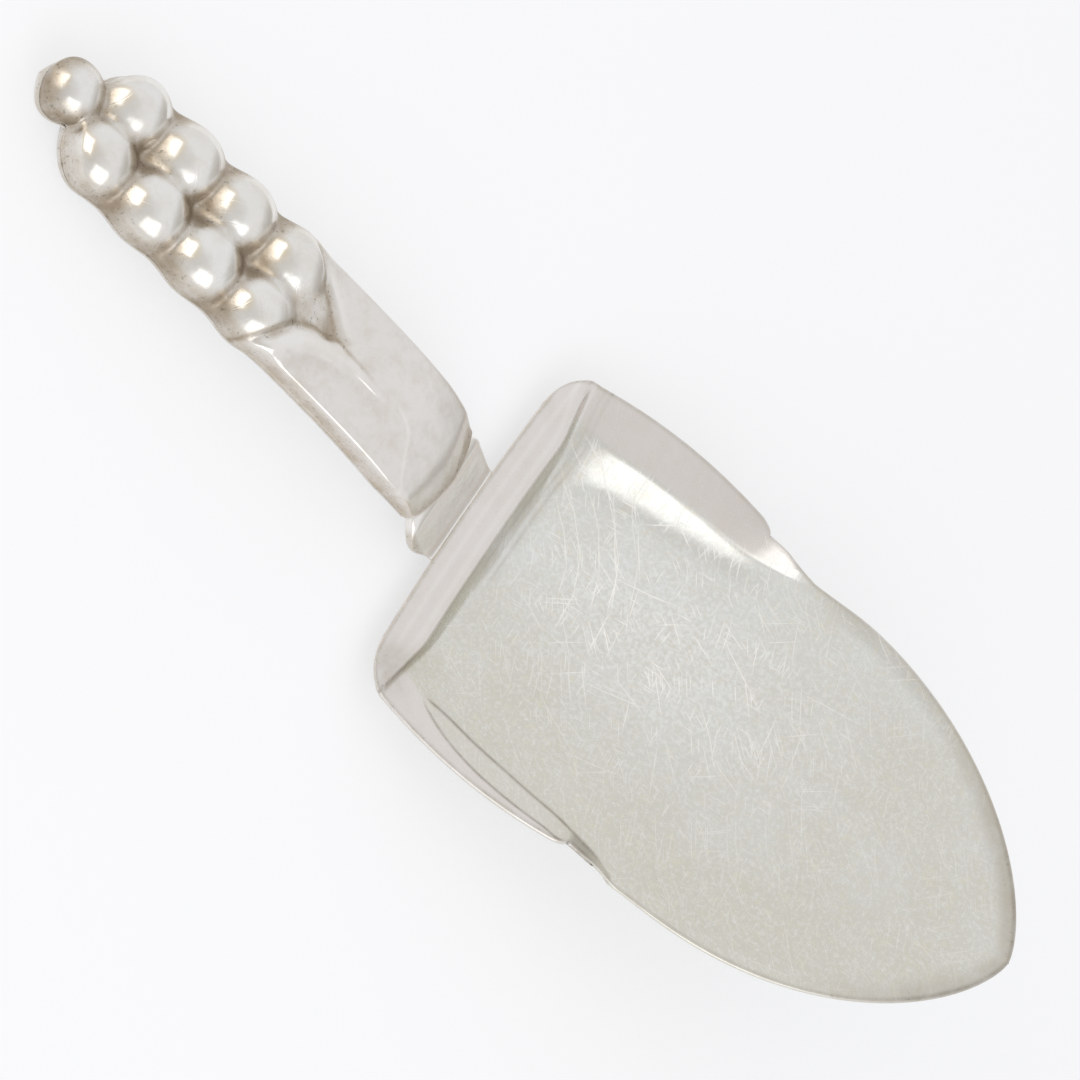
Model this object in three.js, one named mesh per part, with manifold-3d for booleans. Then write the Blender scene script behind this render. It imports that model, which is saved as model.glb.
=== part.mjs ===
// A small silver cake server with a loaded handle.
// A dished blade, a solid neck, two stamped handle shells, a flat tang and the core that fills the handle.
// Millimetres, +Z up. The blade points along +X and the server rests on its heel and on the handle's tip.
import * as THREE from 'three';
import { mergeVertices } from 'three/addons/utils/BufferGeometryUtils.js';
import Module from 'manifold-3d';

const wasm = await Module();
wasm.setup();

// Clearance between pieces that touch or are soldered together
const fit = 0.3;

// Blade: plan
const bladeLength = 103;
const lipHalfWidth = 30.7;
const lipBow = 0.006;
const lipWidest = 22;
const frontHalfWidth = 28.05;
const backCornerLength = 5.4;
const backCornerWidth = 7.5;
const backBow = 1;
const shoulderAt = 36;
const notchAt = 38.8;
const pointLength = 48;
const pointFullness = 0.66;

// Blade: relief, measured from the plane of its rim
const bladeTilt = 17.7;
const bladeThickness = 0.65;
const heelDepth = 5.85;
const tipDepth = 0.7;
const backLipWidth = 5.9;
const backLipDrop = 0.25;
const backWallRun = 4.6;
const sideLipDrop = 1.6;
const sideWallSlope = 0.85;
const wallFade = 43;
const wallEnd = 54;
const rimUpturnWidth = 3;
const reliefFillet = 0.9;

// Neck
const neckLength = 8;
const neckHalfWidth = 9.6;
const neckThickness = 2.8;
const plugLength = 5;

// Handle: plan
const leafLength = 39;
const leafHalfWidth = 8.7;
const leafEndHalfWidth = 8;
const bunchHalfWidth = 9.2;
const bunchScallop = 0.3;
const bunchCorner = 7.6;
const grapeRows = 4;
const grapePitch = 10.4;
const grapeAcross = 9.4;
const tipGrapeReach = 8.5;
const tipHalfWidth = 4.6;
const tipTuck = 0.9;
const tuckedGrapeReach = 5.6;
const tuckedGrapeOut = 0.8;
const leafStep = 1.6;

// Handle: section, measured up from its underside
const archRise = 5.2;
const archCrest = 20;
const grapeRadius = 6.2;
const grapeLevel = 2;
const tipGrapeRadius = 5;
const tipGrapeLevel = 2.6;
const tuckedGrapeRadius = 5.6;
const tuckedGrapeLevel = 0.5;
const grapeBed = 4.4;
const leafBed = 6.1;
const leafEndBed = 3.9;
const seamHeight = 2.1;
const shellThickness = 0.85;
const valleyFillet = 2;
const leafTrough = 0.95;
const leafOverlap = 0.35;
const leafRoll = 1;

// Tang inside the handle
const tangLength = 60;
const tangWidth = 9;
const tangThickness = 1;
const tangInNeck = 2;

// Stations along the handle, measured from the blade's back edge
const leafEnd = -neckLength;
const lastRow = leafEnd - leafLength;
const firstRow = lastRow - (grapeRows - 1) * grapePitch;
const tipGrape = firstRow - tipGrapeReach;
const handleTip = tipGrape - tipHalfWidth;
const crest = leafEnd - archCrest;

const rad = THREE.MathUtils.degToRad;
const smooth = (x, low, high) => THREE.MathUtils.smoothstep(x, low, high);

// Soft maximum: the larger of two heights, with a fillet where they are closer than the given reach
function softMax(a, b, reach) {
  return Math.max(a, b) + Math.max(0, reach - Math.abs(a - b)) ** 2 / (4 * reach);
}

// A smooth line through stations (place, value), level at both ends
function through(stations) {
  const slope = stations.map((here, i) => {
    const before = stations[i - 1];
    const after = stations[i + 1];
    return before && after ? (after[1] - before[1]) / (after[0] - before[0]) : 0;
  });
  return (place) => {
    let i = 0;
    while (i < stations.length - 2 && place > stations[i + 1][0]) i += 1;
    const [x0, y0] = stations[i];
    const [x1, y1] = stations[i + 1];
    const run = x1 - x0;
    const t = THREE.MathUtils.clamp((place - x0) / run, 0, 1);
    const back = 1 - t;
    return y0 * back * back * (1 + 2 * t) + y1 * t * t * (3 - 2 * t)
      + run * t * back * (slope[i] * back - slope[i + 1] * t);
  };
}

// A geometry whose equal points are joined and whose collapsed triangles are left out
function closed(position, index) {
  const geometry = new THREE.BufferGeometry();
  geometry.setAttribute('position', new THREE.Float32BufferAttribute(position, 3));
  geometry.setIndex(index);
  const joined = mergeVertices(geometry, 1e-3);
  const kept = [];
  for (let k = 0; k < joined.index.count; k += 3) {
    const [a, b, c] = [0, 1, 2].map((n) => joined.index.getX(k + n));
    if (a !== b && b !== c && c !== a) kept.push(a, b, c);
  }
  joined.setIndex(kept);
  return joined;
}

// A thin wall between two grids of points, closed along its edges.
// Where zipped is set, the first row of each grid is folded onto itself and needs no edge strip.
function wall(outer, inner, zipped) {
  const rows = outer.length;
  const columns = outer[0].length;
  const position = [];
  const index = [];
  for (const grid of [outer, inner]) {
    for (const row of grid) row.forEach((p) => position.push(p.x, p.y, p.z));
  }
  const at = (side, i, j) => (side * rows + i) * columns + j;
  const quad = (a, b, c, d) => index.push(a, b, c, a, c, d);
  for (let i = 0; i < rows - 1; i += 1) {
    for (let j = 0; j < columns - 1; j += 1) {
      quad(at(0, i, j), at(0, i + 1, j), at(0, i + 1, j + 1), at(0, i, j + 1));
      quad(at(1, i, j), at(1, i, j + 1), at(1, i + 1, j + 1), at(1, i + 1, j));
    }
    const last = columns - 1;
    quad(at(0, i, 0), at(1, i, 0), at(1, i + 1, 0), at(0, i + 1, 0));
    quad(at(0, i, last), at(0, i + 1, last), at(1, i + 1, last), at(1, i, last));
  }
  for (let j = 0; j < columns - 1; j += 1) {
    const end = rows - 1;
    quad(at(0, end, j), at(1, end, j), at(1, end, j + 1), at(0, end, j + 1));
    if (!zipped) quad(at(0, 0, j), at(0, 0, j + 1), at(1, 0, j + 1), at(1, 0, j));
  }
  return closed(position, index);
}

// The grid moved inwards by a thickness along the surface normal
function offsetGrid(grid, thickness) {
  const rows = grid.length;
  const columns = grid[0].length;
  const pick = (i, j) => {
    const row = grid[THREE.MathUtils.clamp(i, 0, rows - 1)];
    return row[THREE.MathUtils.clamp(j, 0, columns - 1)];
  };
  return grid.map((row, i) => row.map((p, j) => {
    const along = pick(i + 1, j).clone().sub(pick(i - 1, j));
    const across = pick(i, j + 1).clone().sub(pick(i, j - 1));
    const normal = along.cross(across).normalize();
    return p.clone().addScaledVector(normal, -thickness);
  }));
}

// A solid carried along X through closed sections of the same number of points
function loft(sections) {
  const count = sections[0].length;
  const position = sections.flat().flatMap((p) => [p.x, p.y, p.z]);
  const index = [];
  for (let i = 0; i < sections.length - 1; i += 1) {
    for (let j = 0; j < count; j += 1) {
      const a = i * count + j;
      const b = i * count + (j + 1) % count;
      index.push(a, b, b + count, a, b + count, a + count);
    }
  }
  const front = (sections.length - 1) * count;
  for (let j = 1; j < count - 1; j += 1) {
    index.push(0, j + 1, j);
    index.push(front, front + j, front + j + 1);
  }
  return closed(position, index);
}

// A section with cut corners, in the plane of one station
function section(x, halfWidth, low, high, cut) {
  const y = halfWidth;
  const c = Math.min(cut, halfWidth * 0.4, (high - low) * 0.4);
  const corners = [
    [y - c, low], [y, low + c], [y, high - c], [y - c, high],
    [c - y, high], [-y, high - c], [-y, low + c], [c - y, low],
  ];
  return corners.map(([py, pz]) => new THREE.Vector3(x, py, pz));
}

const stations = (from, to, steps) => Array.from({ length: steps + 1 }, (_, k) => from + (to - from) * k / steps);

// Boolean cut of one closed geometry by others
function cutAway(body, ...tools) {
  const solid = (geometry) => new wasm.Manifold(new wasm.Mesh({
    numProp: 3,
    vertProperties: new Float32Array(geometry.attributes.position.array),
    triVerts: new Uint32Array(geometry.index.array),
  }));
  const left = tools.reduce((rest, tool) => rest.subtract(solid(tool)), solid(body)).getMesh();
  const geometry = new THREE.BufferGeometry();
  geometry.setAttribute('position', new THREE.Float32BufferAttribute(left.vertProperties, 3));
  geometry.setIndex(Array.from(left.triVerts));
  return geometry;
}

// The side lip's bowed outline: half the width at a distance from the back edge
const lipOutline = (s) => lipHalfWidth - lipBow * (s - lipWidest) ** 2;

// Blade outline: round back corner, bowed lip, round shoulder at the notch, pointed arch
function bladeHalfWidth(s) {
  if (s < backCornerLength) {
    const turn = 1 - s / backCornerLength;
    return lipOutline(backCornerLength) - backCornerWidth * (1 - Math.sqrt(1 - turn ** 2));
  }
  if (s < shoulderAt) return lipOutline(s);
  if (s < notchAt) {
    const t = (s - shoulderAt) / (notchAt - shoulderAt);
    return THREE.MathUtils.lerp(frontHalfWidth, lipOutline(s), Math.sqrt(1 - t * t));
  }
  const t = Math.max(0, (s - bladeLength + pointLength) / pointLength);
  return frontHalfWidth * Math.max(0, 1 - t * t) ** pointFullness;
}

// The ridge between the pan's wall and the side lip: half the width between the two ridges.
// It leaves the back corner, bows outwards and runs out over the rim in front of the notch.
const lipRidge = through([
  [0, 0.77], [0.117, 0.746], [0.194, 0.769], [0.291, 0.782], [0.369, 0.792], [0.447, 0.853], [0.505, 0.932],
].map(([along, out]) => [along * bladeLength, out * lipHalfWidth]));

// Blade relief: height above the rim plane at a distance from the back edge and from the middle
function bladeHeight(s, y) {
  const floor = THREE.MathUtils.lerp(-heelDepth, -tipDepth, s / bladeLength);
  const backLip = -backLipDrop * Math.min(1, s / backLipWidth) - floor;
  const back = backLip * (1 - THREE.MathUtils.clamp((s - backLipWidth) / backWallRun, 0, 1)) ** 3;
  const lipWidth = Math.max(1, lipOutline(s) - lipRidge(s));
  const out = Math.abs(y) - lipRidge(s);
  const sideLip = -sideLipDrop * (1 - THREE.MathUtils.clamp(out / lipWidth, 0, 1)) - floor;
  const sideWall = softMax(0, sideLip + sideWallSlope * Math.min(0, out), reliefFillet);
  const side = sideWall * (1 - smooth(s, wallFade, wallEnd));
  const taper = s > notchAt ? (bladeHalfWidth(s) - bladeHalfWidth(s + 0.5)) / 0.5 : 0;
  const inside = (bladeHalfWidth(s) - Math.abs(y)) / Math.hypot(1, taper);
  const near = Math.max(0, 1 - inside / rimUpturnWidth);
  const upturn = -0.3 * floor * near ** 2 * smooth(s, shoulderAt, wallEnd);
  return floor + Math.max((back ** 6 + side ** 6) ** (1 / 6), upturn);
}

// Blade point in the shared frame before the whole server is set on the table
function bladePoint(s, y) {
  const h = bladeHeight(s, y);
  const run = s + backBow * (y / lipHalfWidth) ** 2 * (1 - smooth(s, 0, notchAt));
  const point = new THREE.Vector3(run, y, h);
  return point.applyAxisAngle(new THREE.Vector3(0, 1, 0), -rad(bladeTilt));
}

function bladeGrid() {
  const corner = [0, 0.02, 0.1, 0.25, 0.45, 0.7, 1].map((k) => k * backCornerLength);
  const backWall = [0, 0.1, 0.22, 0.38, 0.6, 1].map((k) => backLipWidth + k * backWallRun);
  const side = stations(backLipWidth + backWallRun, shoulderAt, 10).slice(1);
  const notch = [0.4, 0.75, 0.95, 1].map((k) => THREE.MathUtils.lerp(shoulderAt, notchAt, k));
  const front = stations(notchAt, bladeLength - pointLength, 5).slice(1);
  const point = [0.12, 0.25, 0.37, 0.49, 0.6, 0.7, 0.78, 0.85, 0.91, 0.95, 0.98, 0.999]
    .map((k) => bladeLength - pointLength + k * pointLength);
  const rows = [...corner, ...backWall, ...side, ...notch, ...front, ...point].sort((a, b) => a - b);
  const pan = [0, 0.25, 0.5, 0.68, 0.79, 0.86, 0.91, 0.96, 1];
  const lip = [0.3, 0.65, 1];
  return rows.map((s) => {
    const half = bladeHalfWidth(s);
    const ridge = Math.min(lipRidge(s), 0.93 * half);
    const places = [...pan.map((k) => k * ridge), ...lip.map((k) => THREE.MathUtils.lerp(ridge, half, k))];
    return [...places.slice(1).reverse().map((y) => -y), ...places].map((y) => bladePoint(s, y));
  });
}

const bladeTop = bladeGrid();
const bladeUnder = offsetGrid(bladeTop, bladeThickness);
const heelLevel = Math.min(...bladeUnder.flat().map((p) => p.z));
const bladeGeometry = wall(bladeTop, bladeUnder, false).translate(0, 0, -heelLevel);
const lipTop = -heelLevel;

// Handle: underside and seam along its length
const archLine = through([
  [handleTip, 0], [tipGrape, 0], [(firstRow + lastRow) / 2, archRise * 0.46], [crest, archRise],
  [leafEnd, lipTop - bladeThickness + archRise * 0.25], [0, lipTop - bladeThickness],
]);
const underside = (x) => Math.max(0, archLine(x));
const leafTop = through([[crest, leafBed], [leafEnd - plugLength, leafBed * 0.95], [leafEnd, leafEndBed]]);
const seam = (x) => underside(x) + seamHeight * (1 - 0.3 * smooth(x, leafEnd - 2 * plugLength, leafEnd));

// The grapes as caps of spheres: plan centre, level of the sphere's centre and radius
const grapes = [
  [tipGrape, 0, tipGrapeLevel, tipGrapeRadius],
  [lastRow + tuckedGrapeReach, tuckedGrapeOut, tuckedGrapeLevel, tuckedGrapeRadius],
];
for (const x of stations(firstRow, lastRow, grapeRows - 1)) {
  for (const side of [-0.5, 0.5]) grapes.push([x, side * grapeAcross, grapeLevel, grapeRadius]);
}

// Handle outline: half the width at the seam. The round tip, the scalloped bunch and the narrowing leaves.
function handleHalfWidth(x) {
  const tip = Math.sqrt(Math.max(0, tipHalfWidth ** 2 - (x - tipGrape) ** 2));
  const start = THREE.MathUtils.clamp((firstRow + 0.26 * bunchCorner - x) / bunchCorner, 0, 1);
  const leaf = smooth(x, lastRow, lastRow + tuckedGrapeReach);
  const scallop = bunchScallop * Math.cos(2 * Math.PI * (x - firstRow) / grapePitch) * (1 - leaf);
  const body = THREE.MathUtils.lerp(bunchHalfWidth, leafHalfWidth, leaf) + scallop;
  const narrow = (leafHalfWidth - leafEndHalfWidth) * smooth(x, leafEnd - 2 * plugLength, leafEnd);
  const bunch = (body - narrow) * (1 - start ** 2.6) ** (1 / 2.6);
  return (tip ** 7 + bunch ** 7) ** (1 / 7);
}

// Height of the bunch: caps on a bed, with fillets in the valleys
function bunchTop(x, y) {
  const caps = grapes.map(([gx, gy, level, radius]) => {
    const away = Math.hypot(x - gx, y - gy);
    const dome = Math.sqrt(Math.max(0, radius ** 2 - away ** 2));
    return underside(gx) + level + dome - 3 * Math.max(0, away - radius);
  });
  return caps.reduce((top, cap) => softMax(top, cap, valleyFillet), underside(x) + grapeBed);
}

// The right leaf's edge, as a place across: from the right side, down the middle, to the left side
const rightEdge = through([
  [-0.05, 1.12], [0.02, 0.9], [0.15, 0.52], [0.28, 0.11], [0.44, 0.05], [0.56, 0.01], [0.66, -0.08], [0.72, -0.22],
  [0.77, -0.59], [0.84, -1.03],
].map(([along, out]) => [lastRow + along * leafLength, out * leafHalfWidth]));

// The left leaf's rolled top edge, as a place along: high on the left side, low where it meets the right leaf
const leftEdge = through([
  [-1.09, 0.01], [-0.72, 0.04], [-0.39, 0.1], [-0.17, 0.18], [-0.05, 0.27], [0.17, 0.33], [1.1, 0.41],
].map(([out, along]) => [out * leafHalfWidth, lastRow + along * leafLength]));

// Height of the front stamping in plan: the bunch, the hollow left leaf, and the right leaf that overlaps it
function frontTop(x, y) {
  const edge = rightEdge(x);
  const line = underside(x) + leafTop(x);
  const below = x - leftEdge(y);
  const inset = THREE.MathUtils.clamp((edge - y) / (edge + 1.02 * leafHalfWidth), 0, 1);
  const fade = 1 - smooth(x, leafEnd - 2 * plugLength, leafEnd - plugLength);
  const trough = leafTrough * Math.sin(Math.PI * inset) ** 1.5 * smooth(below, leafStep, 5 * leafStep) * fade;
  const roll = leafRoll * Math.exp(-((below / leafStep - 1.2) ** 2));
  const left = line - leafOverlap / 2 - trough + roll * (1 - smooth(y, 0, leafHalfWidth / 2));
  const right = line + leafOverlap / 2 - leafOverlap * smooth(y, leafHalfWidth / 3, leafHalfWidth);
  const withLeft = THREE.MathUtils.lerp(bunchTop(x, y), left, smooth(below, -leafStep, leafStep));
  return THREE.MathUtils.lerp(withLeft, right, smooth(y - edge, -leafStep, leafStep));
}

// How far the seam is drawn in under the tip grape
const tuck = (x) => tipTuck * smooth(tipGrape - x, 0, tipHalfWidth);

// Handle front: a squared arch from seam to seam, with the grapes and leaves raised on it
function frontPoint(x, [side, crown]) {
  const y = handleHalfWidth(x) * side;
  const z = THREE.MathUtils.lerp(seam(x), frontTop(x, y), crown);
  return new THREE.Vector3(x + (1 - crown) * tuck(x), y, z);
}

// Places along the handle: close together at the round tip, even along the grapes and the leaves
const handleRows = [
  ...[0, 0.01, 0.05, 0.15, 0.35, 0.65].map((k) => handleTip + k * tipHalfWidth),
  ...stations(tipGrape, lastRow + 0.4 * leafLength, 44),
  ...stations(lastRow + 0.4 * leafLength, leafEnd, 16).slice(1),
];

// Places across the handle on a squared arch: parts of its half width and of its height
const square = (part) => (1 - Math.abs(part) ** 7) ** (1 / 7);
const flank = [0, 0.4, 0.75].map((up) => [square(up), up]);
const arch = [
  ...flank.map(([side, up]) => [-side, up]),
  ...stations(-0.9, 0.9, 16).map((side) => [side, square(side)]),
  ...flank.reverse(),
];

// A shell's inner side: each section drawn in towards the middle of the seam by the sheet's thickness
function sheetInside(outer) {
  const run = leafEnd - handleTip;
  return outer.map((row) => row.map((p) => {
    const level = seam(p.x);
    const out = Math.hypot(p.y, p.z - level);
    const rest = out / (out + shellThickness);
    const x = leafEnd - (leafEnd - p.x) * (1 - shellThickness / run);
    return new THREE.Vector3(x, p.y * rest, level + (p.z - level) * rest);
  }));
}

const frontOuter = handleRows.map((x) => arch.map((place) => frontPoint(x, place)));
const frontGeometry = wall(frontOuter, sheetInside(frontOuter), true).translate(0, 0, fit / 2);

// Handle back: a shallow tray, flat along the middle and turned up to the seam
const trayRows = handleRows.filter((x, i) => i < 8 || i % 2 === 0);
const trayArch = arch.filter((place, j) => j < 3 || j > arch.length - 4 || j % 2 === 1);
const backOuter = trayRows.map((x) => trayArch.map(([side, crown]) => {
  const drop = seam(x) - underside(x) - fit / 2;
  return new THREE.Vector3(x + tuck(x), -handleHalfWidth(x) * side, seam(x) - drop * crown);
}));
const backGeometry = wall(backOuter, sheetInside(backOuter), true).translate(0, 0, -fit / 2);

// Room inside the shells: half the width, bottom and top, clear of both sheets
const roomHalfWidth = (x) => handleHalfWidth(x) - shellThickness - 2 * fit;
const roomLow = (x) => underside(x) + shellThickness + fit;
const roomHigh = (x) => {
  const leaf = smooth(x, lastRow + tuckedGrapeReach, lastRow + 3 * tuckedGrapeReach);
  const hollow = leafTrough * (1 - smooth(x, leafEnd - 2 * plugLength, leafEnd - plugLength));
  const top = THREE.MathUtils.lerp(grapeBed + fit, leafTop(x) - leafOverlap - hollow, leaf);
  return underside(x) + top - shellThickness - 2 * fit;
};
const roomSection = (x) => section(x, roomHalfWidth(x), roomLow(x), roomHigh(x), seamHeight * 0.4);

// Tang: a flat bar half way up the room, bent to the handle's arch
const plugEnd = leafEnd - plugLength;
const tangFront = plugEnd + tangInNeck;
const tangBack = tangFront - tangLength;
const tangSection = (x, gap) => {
  const middle = (roomLow(Math.min(x, leafEnd)) + roomHigh(Math.min(x, leafEnd))) / 2;
  const half = tangThickness / 2 + gap;
  return section(x, tangWidth / 2 + gap, middle - half, middle + half, 0.2);
};
const tangGeometry = loft(stations(tangBack, tangFront, 14).map((x) => tangSection(x, 0)));
const tangSlot = loft(stations(tangBack - fit, tangFront + fit, 14).map((x) => tangSection(x, fit)));

// Core: fills the room from the first grapes to the neck's plug, with a slot for the tang
const coreBack = firstRow - grapeRadius / 3;
const coreBody = loft(stations(coreBack, plugEnd - fit, 24).map((x) => roomSection(x)));
const coreGeometry = cutAway(coreBody, tangSlot);

// Neck: a plug inside the shells, then shoulders that run out to the blade's back edge
const neckLow = (x) => underside(x);
const shoulder = leafEnd / 2;
const neckWide = through([
  [leafEnd, leafEndHalfWidth - fit], [shoulder, neckHalfWidth], [0, neckHalfWidth],
]);
const neckHigh = through([
  [leafEnd, underside(leafEnd) + leafEndBed - fit], [shoulder, underside(shoulder) + neckThickness], [0, lipTop],
]);
const neckStart = leafEnd + fit;
const neckBody = loft([
  ...stations(plugEnd, leafEnd, 3).map((x) => roomSection(x)),
  section(neckStart, roomHalfWidth(leafEnd), roomLow(leafEnd), roomHigh(leafEnd), seamHeight * 0.4),
  ...stations(neckStart, -fit, 8).map((x) => section(x, neckWide(x), neckLow(x), neckHigh(x), 0.6)),
]);
const neckGeometry = cutAway(neckBody, tangSlot);

const group = new THREE.Group();
const silver = () => new THREE.MeshStandardMaterial({ color: 0xd8d4cd, roughness: 0.22, metalness: 1 });
const steel = () => new THREE.MeshStandardMaterial({ color: 0x8c8f92, roughness: 0.45, metalness: 1 });
const pitch = () => new THREE.MeshStandardMaterial({ color: 0x4a3a2c, roughness: 0.85, metalness: 0 });

function addPiece(name, geometry, material) {
  geometry.computeVertexNormals();
  const mesh = new THREE.Mesh(geometry, material);
  mesh.name = name;
  group.add(mesh);
}

addPiece('blade', bladeGeometry, silver());
addPiece('neck', neckGeometry, silver());
addPiece('handle_front', frontGeometry, silver());
addPiece('handle_back', backGeometry, silver());
addPiece('tang', tangGeometry, steel());
addPiece('handle_core', coreGeometry, pitch());

// The origin is under the middle of the server, on the table
const size = new THREE.Box3().setFromObject(group);
const middle = size.getCenter(new THREE.Vector3());
for (const mesh of group.children) mesh.geometry.translate(-middle.x, -middle.y, -size.min.z);

export default group;
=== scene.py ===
# %% [markdown]
# # A silver cake server with a bunch of grapes on its handle
#
# The server is dished from thin silver sheet, soldered to a short neck, and held by a hollow handle that
# was stamped in two halves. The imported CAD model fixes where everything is. Here the visible pieces are
# drawn again as fine surfaces, because polished metal shows every facet, and they get a finish of old, much
# used silver.

# %% Load the frame
import math

import bpy
import numpy as np
from mathutils import Matrix, Vector


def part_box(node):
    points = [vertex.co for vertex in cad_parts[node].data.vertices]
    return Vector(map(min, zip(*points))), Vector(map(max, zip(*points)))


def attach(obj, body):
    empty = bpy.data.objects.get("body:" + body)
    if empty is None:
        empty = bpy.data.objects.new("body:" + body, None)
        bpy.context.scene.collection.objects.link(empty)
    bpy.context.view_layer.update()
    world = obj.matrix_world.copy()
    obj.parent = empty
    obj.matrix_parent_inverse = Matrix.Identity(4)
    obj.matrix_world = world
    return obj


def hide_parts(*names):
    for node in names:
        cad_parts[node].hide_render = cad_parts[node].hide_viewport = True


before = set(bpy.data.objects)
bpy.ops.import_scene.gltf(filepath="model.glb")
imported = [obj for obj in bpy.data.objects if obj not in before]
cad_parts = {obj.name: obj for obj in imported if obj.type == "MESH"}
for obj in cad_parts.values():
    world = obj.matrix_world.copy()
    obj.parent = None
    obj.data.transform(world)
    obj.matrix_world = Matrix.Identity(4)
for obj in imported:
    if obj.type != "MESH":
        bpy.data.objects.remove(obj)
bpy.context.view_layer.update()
scene = bpy.context.scene
MM = 0.001
print("nodes:", sorted(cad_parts))

# %% [markdown]
# ## Helpers for surfaces
#
# Every piece is a grid of points: rows along the server and columns across it. Two grids, an outer and an
# inner one, make a sheet with a thickness. Points that fall on the same place, such as the rim where both
# grids meet, are merged, so that each sheet is one closed skin.

# %% Lines and soft corners
def smooth_line(place, places, values):
    """A smooth line through a few points: cubic pieces with the slope of its neighbours at each point."""
    places = np.asarray(places, float)
    values = np.asarray(values, float)
    slope = np.zeros_like(values)
    slope[1:-1] = (values[2:] - values[:-2]) / (places[2:] - places[:-2])
    i = np.clip(np.searchsorted(places, place) - 1, 0, len(places) - 2)
    run = places[i + 1] - places[i]
    t = np.clip((place - places[i]) / run, 0, 1)
    b = 1 - t
    ends = values[i] * b * b * (1 + 2 * t) + values[i + 1] * t * t * (3 - 2 * t)
    return ends + run * t * b * (slope[i] * b - slope[i + 1] * t)


def ease(x, low, high):
    """0 below low, 1 above high, and a smooth step between them."""
    t = np.clip((x - low) / (high - low), 0, 1)
    return t * t * (3 - 2 * t)


def soft_max(a, b, fillet):
    """The larger of two heights, with a fillet where they cross."""
    return fillet * np.logaddexp(a / fillet, b / fillet)


def ramp(x, fillet):
    """x where it is positive and 0 elsewhere, with a fillet at the corner."""
    return fillet * np.logaddexp(0, x / fillet)


def bump(x, middle, width):
    """A rounded bump of height 1."""
    return np.exp(-(((x - middle) / width) ** 2))


def mix(a, b, part):
    """From a to b as part goes from 0 to 1."""
    return a + (b - a) * part


# %% Grids to meshes
def normals_of(grid):
    """Unit normals of a grid of points: the cross product of its two directions."""
    along = np.gradient(grid, axis=0)
    across = np.gradient(grid, axis=1)
    normal = np.cross(along, across)
    length = np.linalg.norm(normal, axis=2, keepdims=True)
    return normal / np.maximum(length, 1e-12)


def quads_of(index):
    """The quads between neighbouring points of an array of point numbers."""
    return np.stack([index[:-1, :-1], index[1:, :-1], index[1:, 1:], index[:-1, 1:]], axis=2).reshape(-1, 4)


def sheet_object(name, outer, inner, **masks):
    """A closed sheet from two grids in millimetres, with named masks of the outer grid as attributes."""
    rows, columns = outer.shape[:2]
    count = rows * columns
    top = np.arange(count).reshape(rows, columns)
    under = top + count
    faces = [quads_of(top), quads_of(under)[:, ::-1]]
    for edge in (np.s_[:, 0], np.s_[-1, :]):
        faces.append(quads_of(np.stack([under[edge], top[edge]])))
    for edge in (np.s_[:, -1], np.s_[0, :]):
        faces.append(quads_of(np.stack([top[edge], under[edge]])))
    points = np.concatenate([outer.reshape(-1, 3), inner.reshape(-1, 3)]) * MM
    faces = np.concatenate(faces)
    place, first, number = np.unique(np.round(points / 1e-7), axis=0, return_index=True, return_inverse=True)
    faces = number.reshape(-1)[faces]
    sides = [faces[:, k] != faces[:, (k + 1) % 4] for k in range(4)]
    whole = np.all(sides, axis=0)
    folded = (faces[:, 0] == faces[:, 2]) | (faces[:, 1] == faces[:, 3])
    three = (np.sum(sides, axis=0) == 3) & ~folded
    quads = faces[whole & ~folded].tolist()
    triangles = [list(dict.fromkeys(face)) for face in faces[three].tolist()]
    mesh = bpy.data.meshes.new(name)
    mesh.from_pydata(points[first].tolist(), [], quads + triangles)
    mesh.validate()
    mesh.shade_smooth()
    for mask_name, mask in masks.items():
        layer = mesh.attributes.new(mask_name, "FLOAT", "POINT")
        layer.data.foreach_set("value", np.tile(mask.reshape(-1), 2)[first].astype(np.float32))
    piece = bpy.data.objects.new(name, mesh)
    scene.collection.objects.link(piece)
    print(name, "points:", len(mesh.vertices), "faces:", len(mesh.polygons))
    return piece


# %% [markdown]
# ## The blade
#
# The blade was raised from one sheet: a flat pan, a lip that is turned out along the back and the sides, a
# notch where the side lips end, and a pointed front whose rim is turned up a little. Its rim lies in one
# plane, so the relief is written as a height above that plane, and the whole blade is tilted afterwards.

# %% Blade: sizes and outline
BLADE_LENGTH = 103.0
LIP_HALF_WIDTH = 30.7
LIP_BOW = 0.006
LIP_WIDEST = 22.0
FRONT_HALF_WIDTH = 28.05
CORNER_LENGTH = 5.4
CORNER_WIDTH = 7.5
BACK_BOW = 1.0
SHOULDER_AT = 36.0
NOTCH_AT = 38.8
POINT_LENGTH = 48.0
POINT_FULLNESS = 0.66
BLADE_TILT = math.radians(17.7)
BLADE_THICKNESS = 0.65


def blade_half_width(s):
    """Half the width at a distance from the back edge: round corner, bowed lip, round shoulder, arch."""
    lip = LIP_HALF_WIDTH - LIP_BOW * (s - LIP_WIDEST) ** 2
    corner_lip = LIP_HALF_WIDTH - LIP_BOW * (CORNER_LENGTH - LIP_WIDEST) ** 2
    turn = np.clip(1 - s / CORNER_LENGTH, 0, 1)
    corner = corner_lip - CORNER_WIDTH * (1 - np.sqrt(1 - turn ** 2))
    drop = np.clip((s - SHOULDER_AT) / (NOTCH_AT - SHOULDER_AT), 0, 1)
    shoulder = mix(FRONT_HALF_WIDTH, lip, np.sqrt(1 - drop ** 2))
    t = np.clip((s - BLADE_LENGTH + POINT_LENGTH) / POINT_LENGTH, 0, 1)
    point = FRONT_HALF_WIDTH * (1 - t ** 2) ** POINT_FULLNESS
    return np.select([s < CORNER_LENGTH, s < SHOULDER_AT, s < NOTCH_AT], [corner, lip, shoulder], point)


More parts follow.
